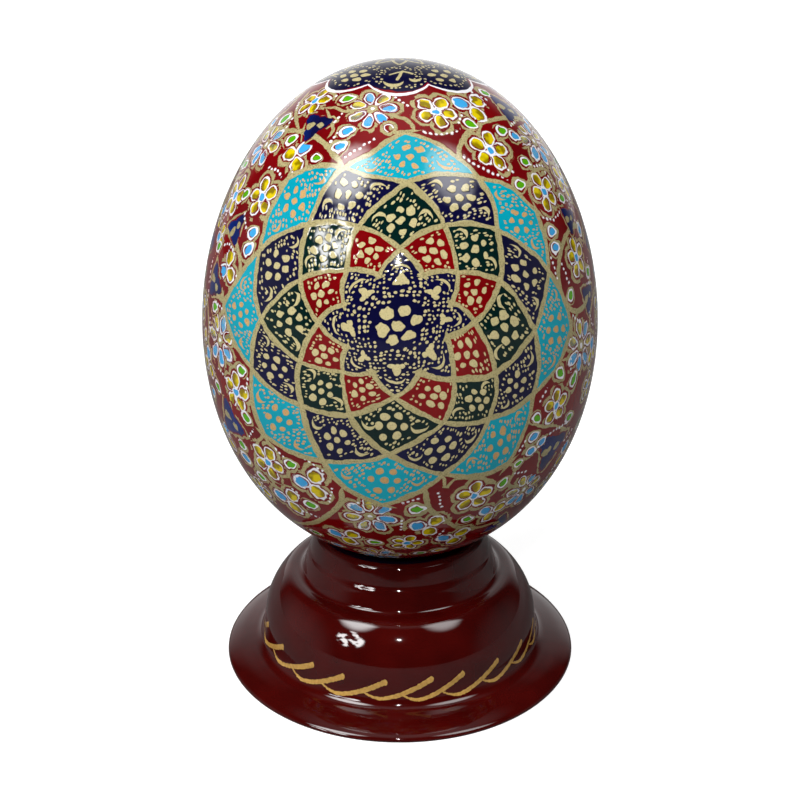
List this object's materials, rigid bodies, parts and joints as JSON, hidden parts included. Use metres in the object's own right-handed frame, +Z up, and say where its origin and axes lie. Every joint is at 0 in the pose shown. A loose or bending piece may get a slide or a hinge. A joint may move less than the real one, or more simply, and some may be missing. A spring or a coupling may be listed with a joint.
{
  "type": "painted ostrich egg on stand",
  "caption": "Whole ostrich egg with a painted and lacquered shell, standing upright in the dished collar of a hollow, bell-shaped spun-metal stand with a flat brim.",
  "frame": {"origin": "centre of the stand's foot ring, on the surface that it stands on", "axes": "+Z up along the egg's long axis and the stand's turning axis; -Y towards the front medallion"},
  "size_m": [0.122, 0.122, 0.1934],
  "materials": {
    "painted_shell": "hand-painted red, navy, green and turquoise ornament under clear gloss lacquer",
    "stand_enamel": "glossy maroon enamel with gold brush strokes, dark blue-black inside the seat and underneath"
  },
  "bodies": {
    "root": {"egg": "painted_shell", "stand": "stand_enamel"}
  },
  "joints": []
}
